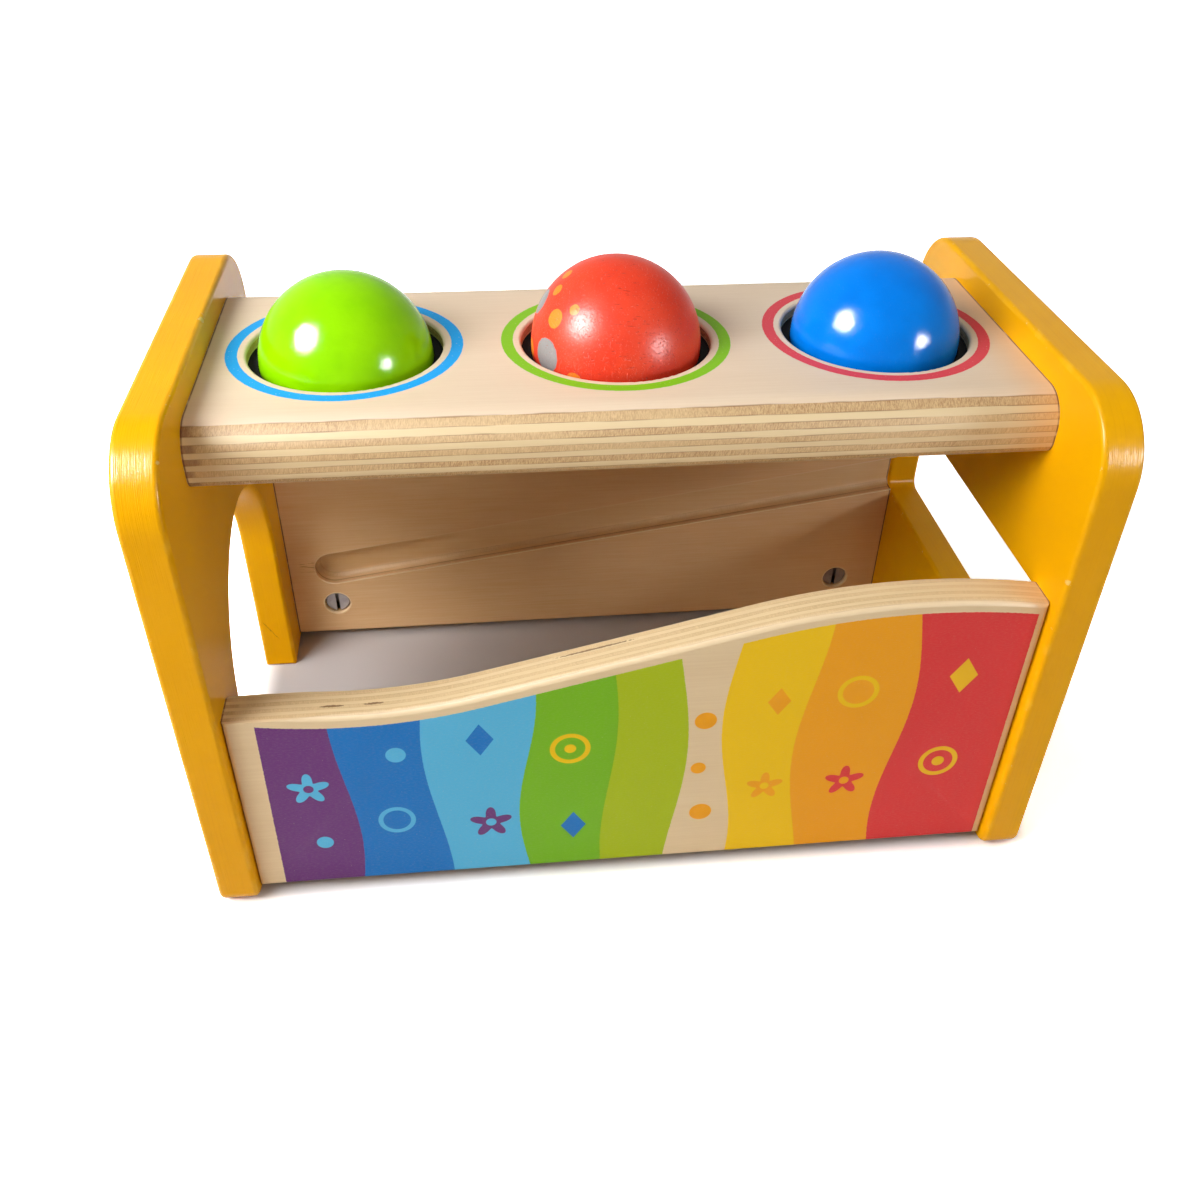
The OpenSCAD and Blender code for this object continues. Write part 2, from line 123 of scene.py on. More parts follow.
def begin(name):
    """A new finish, and the place on the piece in millimetres as x, y and z."""
    finish = bpy.data.materials.new(name)
    finish.use_nodes = True
    finish.node_tree.nodes.clear()
    start = Wire(finish.node_tree)
    place = start.make("ShaderNodeTexCoord", out="Object")
    place = start.make("ShaderNodeVectorMath", {"operation": "SCALE"}, {0: place, "Scale": 1000.0})
    x = start.make("ShaderNodeSeparateXYZ", None, {0: place})
    return finish, x, x.also(1), x.also(2)


def grain(x, y, z, detail=2.0, rough=0.5):
    """Noise around a half, at a place that is already scaled to the size of the pattern."""
    wire = next(w for w in (x, y, z) if isinstance(w, Wire))
    place = wire.make("ShaderNodeCombineXYZ", None, {0: x, 1: y, 2: z})
    return wire.make("ShaderNodeTexNoise", None,
                     {"Vector": place, "Scale": 1.0, "Detail": detail, "Roughness": rough})


def seal(colour, roughness, relief, fixed):
    """The surface of a finish. Its relief is in millimetres, and fixed values are the same all over."""
    normal = colour.make("ShaderNodeBump", None, {"Strength": 1.0, "Distance": 0.001, "Height": relief})
    surface = colour.make("ShaderNodeBsdfPrincipled", None,
                          {"Base Color": colour, "Roughness": roughness, "Normal": normal, **fixed})
    colour.make("ShaderNodeOutputMaterial", None, {"Surface": surface})


def rounded(across, up, half_width, half_height, radius):
    """How far a place lies outside a rectangle with rounded corners, less than 0 inside it."""
    across = abs(across) - half_width + radius
    up = abs(up) - half_height + radius
    corner = (across.most(0.0) ** 2.0 + up.most(0.0) ** 2.0) ** 0.5
    return corner + across.most(up).least(0.0) - radius


SIDE_INNER, SIDE_OUTER, SIDE_HALF_DEEP, SIDE_HALF_TALL = 120.0, 132.0, 74.0, 82.0
FOOT_R, TOP_R = 6.0, 22.0
ARCH_R, ARCH_Z = 44.0, 58.5
SLOT_Y, SLOT_Z, SLOT_HALF_WIDE, SLOT_HALF_TALL, SLOT_R = 1.0, 78.74, 64.5, 19.9, 3.0
CRACK_X, CRACK_Z = -130.2, 22.3


def yellow_paint(name, opening, chips):
    """Yellow paint for a side: opening gives the distance from its edge, chips are places and radii."""
    finish, x, y, z = begin(name)
    up = z - SIDE_HALF_TALL
    corner = FOOT_R + (TOP_R - FOOT_R) * up.ease(-0.5, 0.5)
    edge = (0.0 - rounded(y, up, SIDE_HALF_DEEP, SIDE_HALF_TALL, corner)).least(opening(y, z))
    face = (abs(x) - SIDE_INNER).least(SIDE_OUTER - abs(x))

    # Plies under the paint show as faint lines where the board's edge is cut across them.
    rim = edge.ease(0.8, 0.2)
    level = (abs(x) - SIDE_INNER) * 0.75 + grain(x * 0.4, y * 0.03, z * 0.03) * 0.6
    line = abs(level.math("FRACT", level) - 0.5).ease(0.3, 0.5) * rim
    line = line * grain(x * 0.9, y * 0.02, z * 0.02).ease(0.4, 0.65)
    fibre = grain(x * 4.0, y * 0.08, z * 0.08, 3.0) * rim

    # The arris is bare where the paint has been knocked off it.
    arris = (edge + face).ease(1.7, 1.15)
    chip = arris * grain(x * 0.7, y * 0.34, z * 0.34, 4.0, 0.7).ease(0.66, 0.69)
    for at, radius in chips:
        reach = ((x - at[0]) ** 2.0 + (y - at[1]) ** 2.0 + (z - at[2]) ** 2.0) ** 0.5
        flake = reach + 2.4 * grain(x * 1.1, y * 0.7, z * 0.5, 3.0)
        chip = chip.most(flake.ease(radius + 1.3, radius + 1.0))
    worn = arris * grain(x * 0.2 + 40.0, y * 0.12, z * 0.12, 3.0).ease(0.5, 0.68)

    # A hairline crack runs down the left side's rear foot, inside the arch.
    down = (x - CRACK_X) * 0.51 - (z - CRACK_Z) * 0.86
    off = (x - CRACK_X) * 0.86 + (z - CRACK_Z) * 0.51 + (grain(x * 0.5, 0.0, z * 0.5, 3.0) - 0.5) * 1.6
    crack = abs(off).ease(0.24, 0.06) * down.ease(0.0, 1.0) * down.ease(11.0, 8.5)
    crack = crack * abs(y - ARCH_R).ease(1.5, 1.0)

    cloud = grain(x * 0.02, y * 0.02, z * 0.02, 3.0)
    colour = cloud.ease(0.3, 0.7).mix(shade(236, 168, 0), shade(241, 175, 0))
    colour = (line * 0.14).mix(colour, shade(210, 132, 0))
    colour = (worn * 0.22).mix(colour, shade(252, 206, 64))
    colour = (chip * 0.85).mix(colour, shade(245, 205, 112))
    colour = (crack * 0.5).mix(colour, shade(130, 74, 0))
    peel = grain(x * 0.7, y * 0.7, z * 0.7, 2.0)
    roughness = 0.20 + 0.08 * grain(x * 0.09, y * 0.09, z * 0.09, 3.0) + 0.3 * chip
    relief = 0.012 * peel + 0.08 * fibre - 0.01 * line - 0.05 * chip
    seal(colour, roughness, relief, {"Specular IOR Level": 0.06})
    return finish


def arch(y, z):
    """How far a place lies from the edge of the left side's arch."""
    rise = (z - ARCH_Z).most(0.0)
    return (y ** 2.0 + rise ** 2.0) ** 0.5 - ARCH_R


def slot(y, z):
    """How far a place lies from the edge of the right side's slot."""
    return rounded(y - SLOT_Y, z - SLOT_Z, SLOT_HALF_WIDE, SLOT_HALF_TALL, SLOT_R)


LEFT_CHIPS = [((-120.2, 5.7, 163.8), 1.2), ((-131.8, -20.0, 163.8), 0.7), ((-120.2, -66.0, 158.0), 0.5)]
RIGHT_CHIPS = [((120.2, -63.5, 161.0), 0.6), ((120.2, -73.6, 112.0), 0.9)]
for name, opening, chips in (("left_side", arch, LEFT_CHIPS), ("right_side", slot, RIGHT_CHIPS)):
    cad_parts[name].material_slots[0].material = yellow_paint(f"yellow_paint_{name}", opening, chips)


# The back panel. A 12 mm birch plywood board between the sides, with a sloping groove routed into its
# inner face for a tray to run in, and sealed with a clear satin lacquer. Barrel nuts, bolts and dowels
# hold it at its ends.

def birch(along, across, depth, thick, plies, skin, bold, pale, warm):
    """Birch plywood from pale to warm, with its cross plies more or less bold: colour, relief and fibre."""
    pitch = (thick - 2 * skin) / (plies - 2)
    drift = grain(along * 0.03, across * 0.03, depth * 0.2) - 0.5
    level = (depth + drift * 0.35 - skin) / pitch
    ply = level.math("FLOOR", level) + 1.0
    crossed = ply.math("MODULO", ply + 20.0, 2.0)
    part = level.math("FRACT", level)

    fibre = grain(along * 0.04, across * 1.5, depth * 3.2, 3.0, 0.6)
    figure = grain(along * 0.006, across * 0.05, depth * 0.3, 3.0)
    light = (fibre.ease(0.25, 0.75) * 0.6 + figure.ease(0.3, 0.7) * 0.4).mix(warm, pale)
    light = (depth.ease(skin, skin + 0.3) * (0.6 * bold)).mix(light, shade(220, 196, 138))
    pore = grain(along * 4.2 + depth * 0.9, across * 0.8, depth * 0.9, 3.0, 0.7)
    tone = grain(along * 0.014, ply * 3.7, across * 0.014, 2.0)
    dark = pore.ease(0.26, 0.72).mix(shade(162, 118, 74), shade(218, 186, 136))
    dark = (tone.ease(0.34, 0.66) * 0.4).mix(dark, shade(226, 196, 148))
    colour = (crossed * bold).mix(light, dark)
    glue = abs(part - 0.5).ease(0.38, 0.49) * grain(along * 0.05, ply * 2.3, 0.0).ease(0.4, 0.6)
    colour = (glue * (0.7 * bold)).mix(colour, shade(134, 90, 50))
    relief = 0.02 * fibre + (0.05 * bold) * pore * crossed - (0.03 * bold) * glue

    # The cross plies are brown at the left end: glue stain, and painted shade next to the left side.
    # The right end is orange: yellow paint seeped into it, and a painted reflection of the yellow side.
    stain_and_shade = (0.0 - along + 9.0 * grain(ply * 5.1, 0.0, along * 0.02)).ease(119.5, 121.5) * crossed
    colour = (stain_and_shade * (0.5 * bold)).mix(colour, shade(104, 58, 36))
    colour = (along.ease(104.0, 119.0) * 0.28).mix(colour, shade(214, 152, 80))
    # Dark line where each end meets a side: paint in the joint, and a painted contact shadow.
    seam = abs(along).ease(119.3, 119.7) * abs(along).ease(119.95, 119.85)
    seam = seam * grain(across * 0.12, depth * 0.3, along * 0.1).ease(0.2, 0.5)
    return (seam * 0.85).mix(colour, shade(96, 54, 24)), relief, fibre


BACK_FACE, NUT_X = 60.0, 103.0
GROOVE_X, GROOVE_Z, GROOVE_HALF = -102.5, 34.76, 7.2
RISE, RUN = math.sin(math.radians(8.4)), math.cos(math.radians(8.4))
finish, x, y, z = begin("clear_lacquer_back")
depth = y - BACK_FACE
pale, warm = shade(238, 202, 154), shade(228, 186, 134)
colour, relief, fibre = birch(x, z, depth, 12.0, 9, 1.1, 0.3, pale, warm)

# The groove's arris is pale: sanded wood, and a painted highlight that is strongest on its lower edge.
# Brown lines run along the groove's wall, and torn fibres lie past its closed end. The nut holes have a
# pale arris too.
along = (x - GROOVE_X) * RUN + (z - GROOVE_Z) * RISE
across = (z - GROOVE_Z) * RUN - (x - GROOVE_X) * RISE
groove = (along.least(0.0) ** 2.0 + across ** 2.0) ** 0.5 - GROOVE_HALF
# Painted highlight along the groove's arris, strongest on the lower edge, over pale sanded wood.
arris = abs(groove).ease(0.55, 0.2) * depth.ease(0.6, 0.3) * (0.35 + 0.55 * across.ease(-3.0, -6.0))
for nut_z in (17.6, 115.0):
    reach = ((abs(x) - NUT_X) ** 2.0 + (z - nut_z) ** 2.0) ** 0.5
    arris = arris.most(reach.ease(5.7, 5.4) * depth.ease(1.6, 1.2) * 0.7)
colour = arris.mix(colour, shade(252, 228, 188))
wall = groove.ease(-0.3, -0.1) * groove.ease(1.2, 0.6)
# Two brown lines along the groove's wall, one near its floor and a fainter one halfway up.
groove_lines = abs(depth - 4.7).ease(0.6, 0.25).most(abs(depth - 2.2).ease(0.45, 0.15) * 0.7) * wall
groove_lines = groove_lines * grain(along * 0.06, across * 0.1, depth * 2.0).ease(0.25, 0.5)
colour = (groove_lines * 0.6).mix(colour, shade(128, 74, 40))
torn = grain(x * 0.12, 0.0, z * 2.6, 3.0, 0.6).ease(0.5, 0.6) * depth.ease(0.5, 0.2)
torn = torn * abs(z - 36.2).ease(3.2, 1.4) * abs(x + 112.6).ease(3.4, 2.2)
colour = (torn * 0.6).mix(colour, shade(120, 78, 36))
seal(colour, 0.42 + 0.2 * fibre, relief, {"Specular IOR Level": 0.12})
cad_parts["back_panel"].material_slots[0].material = finish


# The front panel. A 12 mm birch plywood board with a wavy upper edge, rounded over by a router, and its
# own groove inside. A rainbow of wavy bands with dots, rings, flowers and diamonds is printed on its
# face, short of its edges, and the whole board is lacquered.

PANEL_FRONT, PANEL_BACK, PANEL_FOOT, PANEL_END = -70.0, -58.0, 3.0, 120.0
HOLLOW_X, HOLLOW_Z, HOLLOW_R = -83.25, 74.5, 160.0
SLOPE_X, SLOPE = -45.36, math.tan(math.radians(13.7))
CREST_START, CREST_X, CREST_R = 34.52, 84.26, 210.0


def wave(at):
    """Height of the wavy edge, and its slope, above a place along the panel."""
    if at < SLOPE_X:
        run = at - HOLLOW_X
        fall = math.sqrt(HOLLOW_R ** 2 - run ** 2)
        return HOLLOW_Z + HOLLOW_R - fall, run / fall
    start = wave(SLOPE_X - 1e-6)[0]
    if at < CREST_START:
        return start + (at - SLOPE_X) * SLOPE, SLOPE
    run, begun = at - CREST_X, CREST_START - CREST_X
    rise = math.sqrt(CREST_R ** 2 - run ** 2)
    foot = start + (CREST_START - SLOPE_X) * SLOPE
    return foot + rise - math.sqrt(CREST_R ** 2 - begun ** 2), -run / rise


def panel_ring(work, inset, depth):
    """The panel's outline at one depth, drawn in by the rounding of its edges."""
    end, steps = PANEL_END - inset, 150
    points = [(-end, PANEL_FOOT + inset), (end, PANEL_FOOT + inset)]
    for step in range(steps + 1):
        at = end - 2 * end * step / steps
        height, slope = wave(at)
        points.append((at, height - inset * math.sqrt(1 + slope ** 2)))
    return [work.verts.new((px / 1000, depth / 1000, pz / 1000)) for px, pz in points]


def panel_trim(front_round, back_round, spare):
    """A block in the panel's outline with rounded arrises, a hair larger than the board elsewhere."""
    work = bmesh.new()
    turns = [math.radians(90 * k / 8) for k in range(9)]
    rings = []
    for turn in turns:
        inset = front_round * (1 - math.sin(turn)) - spare
        rings.append(panel_ring(work, inset, PANEL_FRONT + front_round * (1 - math.cos(turn)) - spare))
    for turn in reversed(turns):
        inset = back_round * (1 - math.sin(turn)) - spare
        rings.append(panel_ring(work, inset, PANEL_BACK - back_round * (1 - math.cos(turn)) + spare))
    for one, two in zip(rings, rings[1:]):
        for k in range(len(one)):
            work.faces.new((one[k], one[k - 1], two[k - 1], two[k]))
    work.faces.new(rings[0])
    work.faces.new(reversed(rings[-1]))
    bmesh.ops.recalc_face_normals(work, faces=work.faces)
    mesh = bpy.data.meshes.new("panel_trim")
    work.to_mesh(mesh)
    work.free()
    return mesh


def settled(piece):
    """Turns a piece with modifiers into a plain mesh."""
    bpy.context.view_layer.update()
    mesh = bpy.data.meshes.new_from_object(piece.evaluated_get(bpy.context.evaluated_depsgraph_get()))
    piece.modifiers.clear()
    piece.data = mesh
    return mesh


trim = bpy.data.objects.new("panel_trim", panel_trim(2.4, 1.2, 0.06))
bpy.context.scene.collection.objects.link(trim)
panel = bpy.data.objects.new("wavy_front_panel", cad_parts["front_panel"].data.copy())
panel.data.attributes.remove(panel.data.attributes["custom_normal"])
bpy.context.scene.collection.objects.link(panel)
work = bmesh.new()
work.from_mesh(panel.data)
bmesh.ops.remove_doubles(work, verts=work.verts, dist=2e-6)
work.to_mesh(panel.data)
work.free()
cut = panel.modifiers.new("round_over", "BOOLEAN")
cut.operation, cut.solver, cut.object = "INTERSECT", "EXACT", trim
mesh = settled(panel)
bpy.data.objects.remove(trim)
mesh.shade_smooth()
mesh.set_sharp_from_angle(angle=math.radians(28))
panel.modifiers.new("even_shading", "WEIGHTED_NORMAL").keep_sharp = True
settled(panel)


def disc(x, z, at, radius):
    """A printed dot."""
    reach = ((x - at[0]) ** 2.0 + (z - at[1]) ** 2.0) ** 0.5
    return reach.ease(radius + 0.12, radius - 0.12)


def hoop(x, z, at, radius, width):
    """A printed ring."""
    reach = ((x - at[0]) ** 2.0 + (z - at[1]) ** 2.0) ** 0.5
    return abs(reach - radius).ease(width / 2 + 0.12, width / 2 - 0.12)


def flower(x, z, at, radius):
    """A printed flower of five petals with a bare eye."""
    right, up = x - at[0], z - at[1]
    reach = (right ** 2.0 + up ** 2.0) ** 0.5
    turn = right.math("ARCTAN2", up, right)
    petal = radius * (0.72 + 0.28 * (turn * 5.0).math("SINE", turn * 5.0))
    return (reach - petal).ease(0.15, -0.15) * reach.ease(radius * 0.24 - 0.1, radius * 0.24 + 0.1)


def diamond(x, z, at, wide, tall):
    """A printed diamond."""
    reach = abs(x - at[0]) / wide + abs(z - at[1]) / tall
    return reach.ease(1.03, 0.97)


finish, x, y, z = begin("printed_panel")
pale, warm = shade(233, 210, 170), shade(224, 198, 156)
wood, relief, fibre = birch(x, z, y - PANEL_FRONT, 12.0, 9, 1.0, 0.42, pale, warm)
for at, long, deep in (((-89.0, -65.0), 3.5, 0.5), ((-77.0, -65.0), 3.0, 0.5),
                       ((-12.0, -61.0), 12.0, 0.4)):
    torn = 2.4 * (grain(x * 1.1, y * 2.4, 0.0, 3.0) - 0.5)
    gap = ((x - at[0]) / long) ** 2.0 + ((y - at[1]) / deep) ** 2.0 + torn
    wood = (gap.ease(1.1, 0.6) * 0.75).mix(wood, shade(104, 62, 30))

hollow = (x - HOLLOW_X).least(SLOPE_X - HOLLOW_X)
slope = (x - SLOPE_X).most(0.0).least(CREST_START - SLOPE_X)
crest = (x - CREST_X).most(CREST_START - CREST_X)
edge_z = (HOLLOW_Z + HOLLOW_R - (HOLLOW_R ** 2 - hollow ** 2.0) ** 0.5 + slope * SLOPE
          + (CREST_R ** 2 - crest ** 2.0) ** 0.5 - math.sqrt(CREST_R ** 2 - (CREST_START - CREST_X) ** 2))
margin = 4.0 - 0.0025 * x
ragged = (grain(x * 1.2, z * 1.2, 0.0) - 0.5) * 0.35
printed = (edge_z - z - margin + ragged).ease(-0.1, 0.1)
printed = printed * (x + 111.6 - 0.012 * z + ragged).ease(-0.1, 0.1) * (117.0 - x + ragged).ease(-0.1, 0.1)
printed = printed * y.ease(PANEL_FRONT + 1.2, PANEL_FRONT + 0.9)

# Purple comes first, and each band after it starts at a wavy line of its own. One band is bare wood.
PURPLE, BLUE, SKY = shade(94, 38, 106), shade(0, 110, 188), shade(86, 182, 224)
LEAF, LIME, LEMON = shade(112, 176, 4), shade(166, 186, 0), shade(242, 198, 2)
AMBER, RED, GOLD = shade(240, 162, 10), shade(216, 50, 50), shade(242, 190, 24)
BANDS = [
    (-88.0, 2.6, 0.060, 0.3, BLUE),
    (-61.0, 3.4, 0.052, 1.6, SKY),
    (-33.0, 3.0, 0.064, 2.9, LEAF),
    (-8.0, 2.4, 0.058, 4.0, LIME),
    (13.0, 3.2, 0.050, 5.2, wood),
    (29.0, 2.8, 0.062, 0.8, LEMON),
    (53.0, 3.4, 0.054, 2.2, AMBER),
    (82.0, 3.0, 0.060, 3.6, RED),
]
ink = PURPLE
for start, swing, pace, phase, tint in BANDS:
    bend = z * pace + phase
    side = (x - start - swing * bend.math("SINE", bend) + ragged).ease(-0.12, 0.12)
    ink = side.mix(ink, tint)
MOTIFS = [
    (flower(x, z, (-99.0, 46.0), 6.5), SKY),
    (disc(x, z, (-97.0, 22.0), 2.6), SKY),
    (hoop(x, z, (-74.0, 30.0), 5.0, 1.5), SKY),
    (disc(x, z, (-72.0, 58.0), 3.0), SKY),
    (diamond(x, z, (-47.0, 62.0), 4.2, 6.4), BLUE),
    (flower(x, z, (-45.0, 26.0), 6.8), PURPLE),
    (hoop(x, z, (-20.0, 56.0), 5.4, 1.6), LEMON),
    (disc(x, z, (-20.0, 56.0), 1.8), LEMON),
    (diamond(x, z, (-19.0, 22.0), 4.0, 6.0), BLUE),
    (disc(x, z, (21.0, 64.0), 3.4), AMBER),
    (disc(x, z, (20.0, 44.0), 2.4), AMBER),
    (disc(x, z, (22.0, 24.0), 3.6), AMBER),
    (flower(x, z, (42.0, 34.0), 6.0), AMBER),
    (diamond(x, z, (43.0, 70.0), 3.6, 5.4), AMBER),
    (hoop(x, z, (67.0, 72.0), 5.6, 1.6), LEMON),
    (flower(x, z, (68.0, 34.0), 6.6), RED),
    (diamond(x, z, (99.0, 76.0), 4.4, 6.8), GOLD),
    (hoop(x, z, (98.0, 40.0), 5.6, 1.6), GOLD),
    (disc(x, z, (98.0, 40.0), 2.0), GOLD),
]
for mask, tint in MOTIFS:
    ink = mask.mix(ink, tint)
thin = grain(x * 0.9, z * 2.4, 0.0, 3.0, 0.6)
speck = grain(x * 1.6, z * 1.6, 7.0, 2.0).ease(0.72, 0.76)
ink = (thin.ease(0.42, 0.75) * 0.04 + speck * 0.25).mix(ink, shade(238, 214, 176))
colour = printed.mix(wood, ink)
relief = relief + 0.03 * thin * printed
seal(colour, 0.40 + 0.15 * fibre - 0.06 * printed, relief, {"Specular IOR Level": 0.12})
panel.data.materials.clear()
panel.data.materials.append(finish)
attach(panel, "bench")
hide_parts("front_panel")


# The top plate. An 18 mm birch plywood board between the sides, with three round holes and a coloured
# ring printed round each of them. Its long edges are rounded and lacquered, so the plies show there.

PLATE_TOP, HOLE_Y, RING_INNER, RING_OUTER = 155.5, 2.0, 30.9, 34.4
finish, x, y, z = begin("clear_lacquer_plate")
pale, warm = shade(231, 209, 182), shade(224, 200, 170)
colour, relief, fibre = birch(x, y, PLATE_TOP - z, 18.0, 11, 1.1, 1.0, pale, warm)
ragged = (grain(x * 0.9, y * 0.9, 3.0) - 0.5) * 0.3
for hole_x, tint in ((-80.0, shade(0, 160, 236)), (0.0, shade(128, 192, 4)), (80.0, shade(222, 66, 76))):
    reach = ((x - hole_x) ** 2.0 + (y - HOLE_Y) ** 2.0) ** 0.5 + ragged
    ring = reach.ease(RING_INNER - 0.1, RING_INNER + 0.1) * reach.ease(RING_OUTER + 0.1, RING_OUTER - 0.1)
    ring = ring * z.ease(PLATE_TOP - 0.5, PLATE_TOP - 0.2)
    ink = (grain(x * 1.4, y * 1.4, 0.0).ease(0.66, 0.74) * 0.3).mix(tint, shade(240, 220, 186))
    colour = ring.mix(colour, ink)
seal(colour, 0.40 + 0.2 * fibre, relief, {"Specular IOR Level": 0.12})
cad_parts["top_plate"].material_slots[0].material = finish


# The grip rings. A black elastic ring sits in the seat of each hole and holds its ball by friction until
# it is knocked through. They are moulded rubber, matt and a little dusty.

finish, x, y, z = begin("black_rubber")
dust = grain(x * 0.25, y * 0.25, z * 0.25, 4.0, 0.6)
colour = dust.ease(0.45, 0.8).mix(shade(14, 13, 13), shade(40, 38, 36))
pebble = grain(x * 2.6, y * 2.6, z * 2.6, 2.0)
seal(colour, 0.62 + 0.25 * dust, 0.06 * pebble, {"Specular IOR Level": 0.12})
for name in ("left_grip_ring", "middle_grip_ring", "right_grip_ring"):
    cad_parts[name].material_slots[0].material = finish


# The dowels. Short beech pins, glued half into a board's end and half into a side, keep each board from
# turning on its bolts. They lie hidden in their holes.

finish, x, y, z = begin("beech")
fleck = grain(x * 0.5, y * 3.0, z * 3.0, 3.0, 0.6)
colour = fleck.ease(0.35, 0.65).mix(shade(196, 148, 100), shade(222, 178, 130))
seal(colour, 0.55 + 0.2 * fleck, 0.04 * fleck, {"Specular IOR Level": 0.3})
for name in ("top_dowels", "front_dowels", "back_dowels"):
    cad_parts[name].material_slots[0].material = finish


# The bolts. Zinc-plated steel bolts with a round head and a hexagon socket go through the sides into the
# barrel nuts, two at each end of each board, with their heads sunk a little below the paint.

def zinc(name, worn):
    """Dull zinc plating, scratched and darkened by handling."""
    finish, x, y, z = begin(name)
    cloud = grain(x * 0.3, y * 0.3, z * 0.3, 3.0)
    hair = grain(x * 0.8, y * 6.0, z * 6.0, 2.0)
    colour = cloud.ease(0.3, 0.7).mix(shade(146, 139, 138), shade(166, 160, 160))
    colour = (hair.ease(0.6, 0.75) * (0.5 * worn)).mix(colour, shade(100, 93, 91))
    seal(colour, 0.36 + 0.2 * cloud, 0.006 * hair, {"Metallic": 0.9})
    return finish


def grown(name, tree, values):
    """A piece grown by a node tree, its sizes given by name, and left as a plain mesh."""
    piece = bpy.data.objects.new(name, bpy.data.meshes.new(name))
    bpy.context.scene.collection.objects.link(piece)
    growth = piece.modifiers.new("growth", "NODES")
    growth.node_group = tree
    for item in tree.interface.items_tree:
        if item.item_type == "SOCKET" and item.in_out == "INPUT":
            growth[item.identifier] = values[item.name]
    settled(piece)
    return piece


def new_tree(name, lengths, vectors):
    """An empty node tree for a group of pieces, and its named inputs: lengths, then places and turns."""
    tree = bpy.data.node_groups.new(name, "GeometryNodeTree")
    tree.interface.new_socket("Geometry", in_out="OUTPUT", socket_type="NodeSocketGeometry")
    for title in lengths:
        tree.interface.new_socket(title, in_out="INPUT", socket_type="NodeSocketFloat")
    for title in vectors:
        tree.interface.new_socket(title, in_out="INPUT", socket_type="NodeSocketVector")
    sizes = Wire(tree).make("NodeGroupInput")
    return tree, {title: sizes.also(title) for title in lengths + vectors}


def moved(solid, shift, turn=(0.0, 0.0, 0.0)):
    """A solid turned and then shifted."""
    return solid.make("GeometryNodeTransform", None, {0: solid, "Translation": shift, "Rotation": turn})


def turned_pin(radius, length, chamfer, sides):
    """A round pin from its face at the origin down along -Z, with a chamfer round that face."""
    rod = radius.make("GeometryNodeMeshCylinder", None,
                      {"Vertices": sides, "Radius": radius, "Depth": length + 0.004})
    rod = moved(rod, radius.make("ShaderNodeCombineXYZ", None, {2: 0.0 - length / 2.0}))
    cone = radius.make("GeometryNodeMeshCone", None,
                       {"Vertices": sides, "Radius Top": radius - chamfer,
                        "Radius Bottom": radius + length - chamfer, "Depth": length})
    cone = moved(cone, radius.make("ShaderNodeCombineXYZ", None, {2: 0.0 - length}))
    return radius.make("GeometryNodeMeshBoolean", {"operation": "INTERSECT"}, {"Mesh": [rod, cone]})


def set_along(solid, first, second, reach, turn_left, turn_right, finish):
    """Two of a solid at each end of a board, with their flats and rounds shaded as they are."""
    line = solid.make("GeometryNodeMeshLine", {"mode": "END_POINTS"},
                      {"Count": 2, "Start Location": first, "Offset": second})
    ends = []
    for turn, sign in ((turn_left, -1.0), (turn_right, 1.0)):
        placed = solid.make("GeometryNodeInstanceOnPoints", None,
                            {"Points": line, "Instance": solid, "Rotation": turn})
        ends.append(moved(placed, solid.make("ShaderNodeCombineXYZ", None, {0: reach * sign})))
    both = solid.make("GeometryNodeJoinGeometry", None, {0: ends})
    both = solid.make("GeometryNodeRealizeInstances", None, {0: both})
    both = solid.make("GeometryNodeSetShadeSmooth", {"domain": "FACE"}, {0: both, "Shade Smooth": True})
    angle = solid.make("GeometryNodeInputMeshEdgeAngle")
    sharp = solid.make("FunctionNodeCompare", {"operation": "GREATER_THAN"}, {0: angle, 1: 0.4})
    both = solid.make("GeometryNodeSetShadeSmooth", {"domain": "EDGE"},
                      {0: both, "Selection": sharp, "Shade Smooth": False})
    both = solid.make("GeometryNodeSetMaterial", None, {0: both, "Material": finish})
    solid.make("NodeGroupOutput", None, {0: both})


tree, size = new_tree(
    "bolt_set",
    ["Head Radius", "Head Height", "Chamfer", "Shank Radius", "Length", "Socket Width", "Socket Depth",
     "Reach"],
    ["First", "Second"])
head = turned_pin(size["Head Radius"], size["Head Height"], size["Chamfer"], 64)
shank = head.make("GeometryNodeMeshCylinder", None,
                  {"Vertices": 40, "Radius": size["Shank Radius"], "Depth": size["Length"] - 0.001})
shank = moved(shank, head.make("ShaderNodeCombineXYZ", None, {2: -0.001 - size["Length"] / 2.0}))
bolt = head.make("GeometryNodeMeshBoolean", {"operation": "UNION"}, {"Mesh": [head, shank]})
hexagon = head.make("GeometryNodeMeshCylinder", None,
                    {"Vertices": 6, "Radius": size["Socket Width"] / math.sqrt(3.0),
                     "Depth": size["Socket Depth"] * 2.0})
bolt = head.make("GeometryNodeMeshBoolean", {"operation": "DIFFERENCE"},
                 {"Mesh 1": bolt, "Mesh 2": hexagon})
set_along(bolt, size["First"], size["Second"], size["Reach"],
          (0.0, -math.pi / 2, 0.0), (0.0, math.pi / 2, 0.0), zinc("zinc_bolts", 0.5))
for board, first, second, length in (("top", (0, -0.035, 0.1465), (0, 0.037, 0.1465), 0.0365),
                                     ("front", (0, -0.064, 0.0176), (0, -0.064, 0.049), 0.0345),
                                     ("back", (0, 0.066, 0.0176), (0, 0.066, 0.115), 0.0345)):
    piece = grown(f"{board}_socket_bolts", tree, {
        "Head Radius": 0.005, "Head Height": 0.004, "Chamfer": 0.0006, "Shank Radius": 0.003,
        "Length": length, "Socket Width": 0.004, "Socket Depth": 0.0025, "First": first, "Second": second,
        "Reach": 0.1315})
    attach(piece, "bench")
    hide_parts(f"{board}_bolts")


# The barrel nuts. Turned zinc-plated cylinders lie in blind holes in the boards, drilled across for the
# bolts, each with a screwdriver slot in its face to turn its thread towards the bolt.

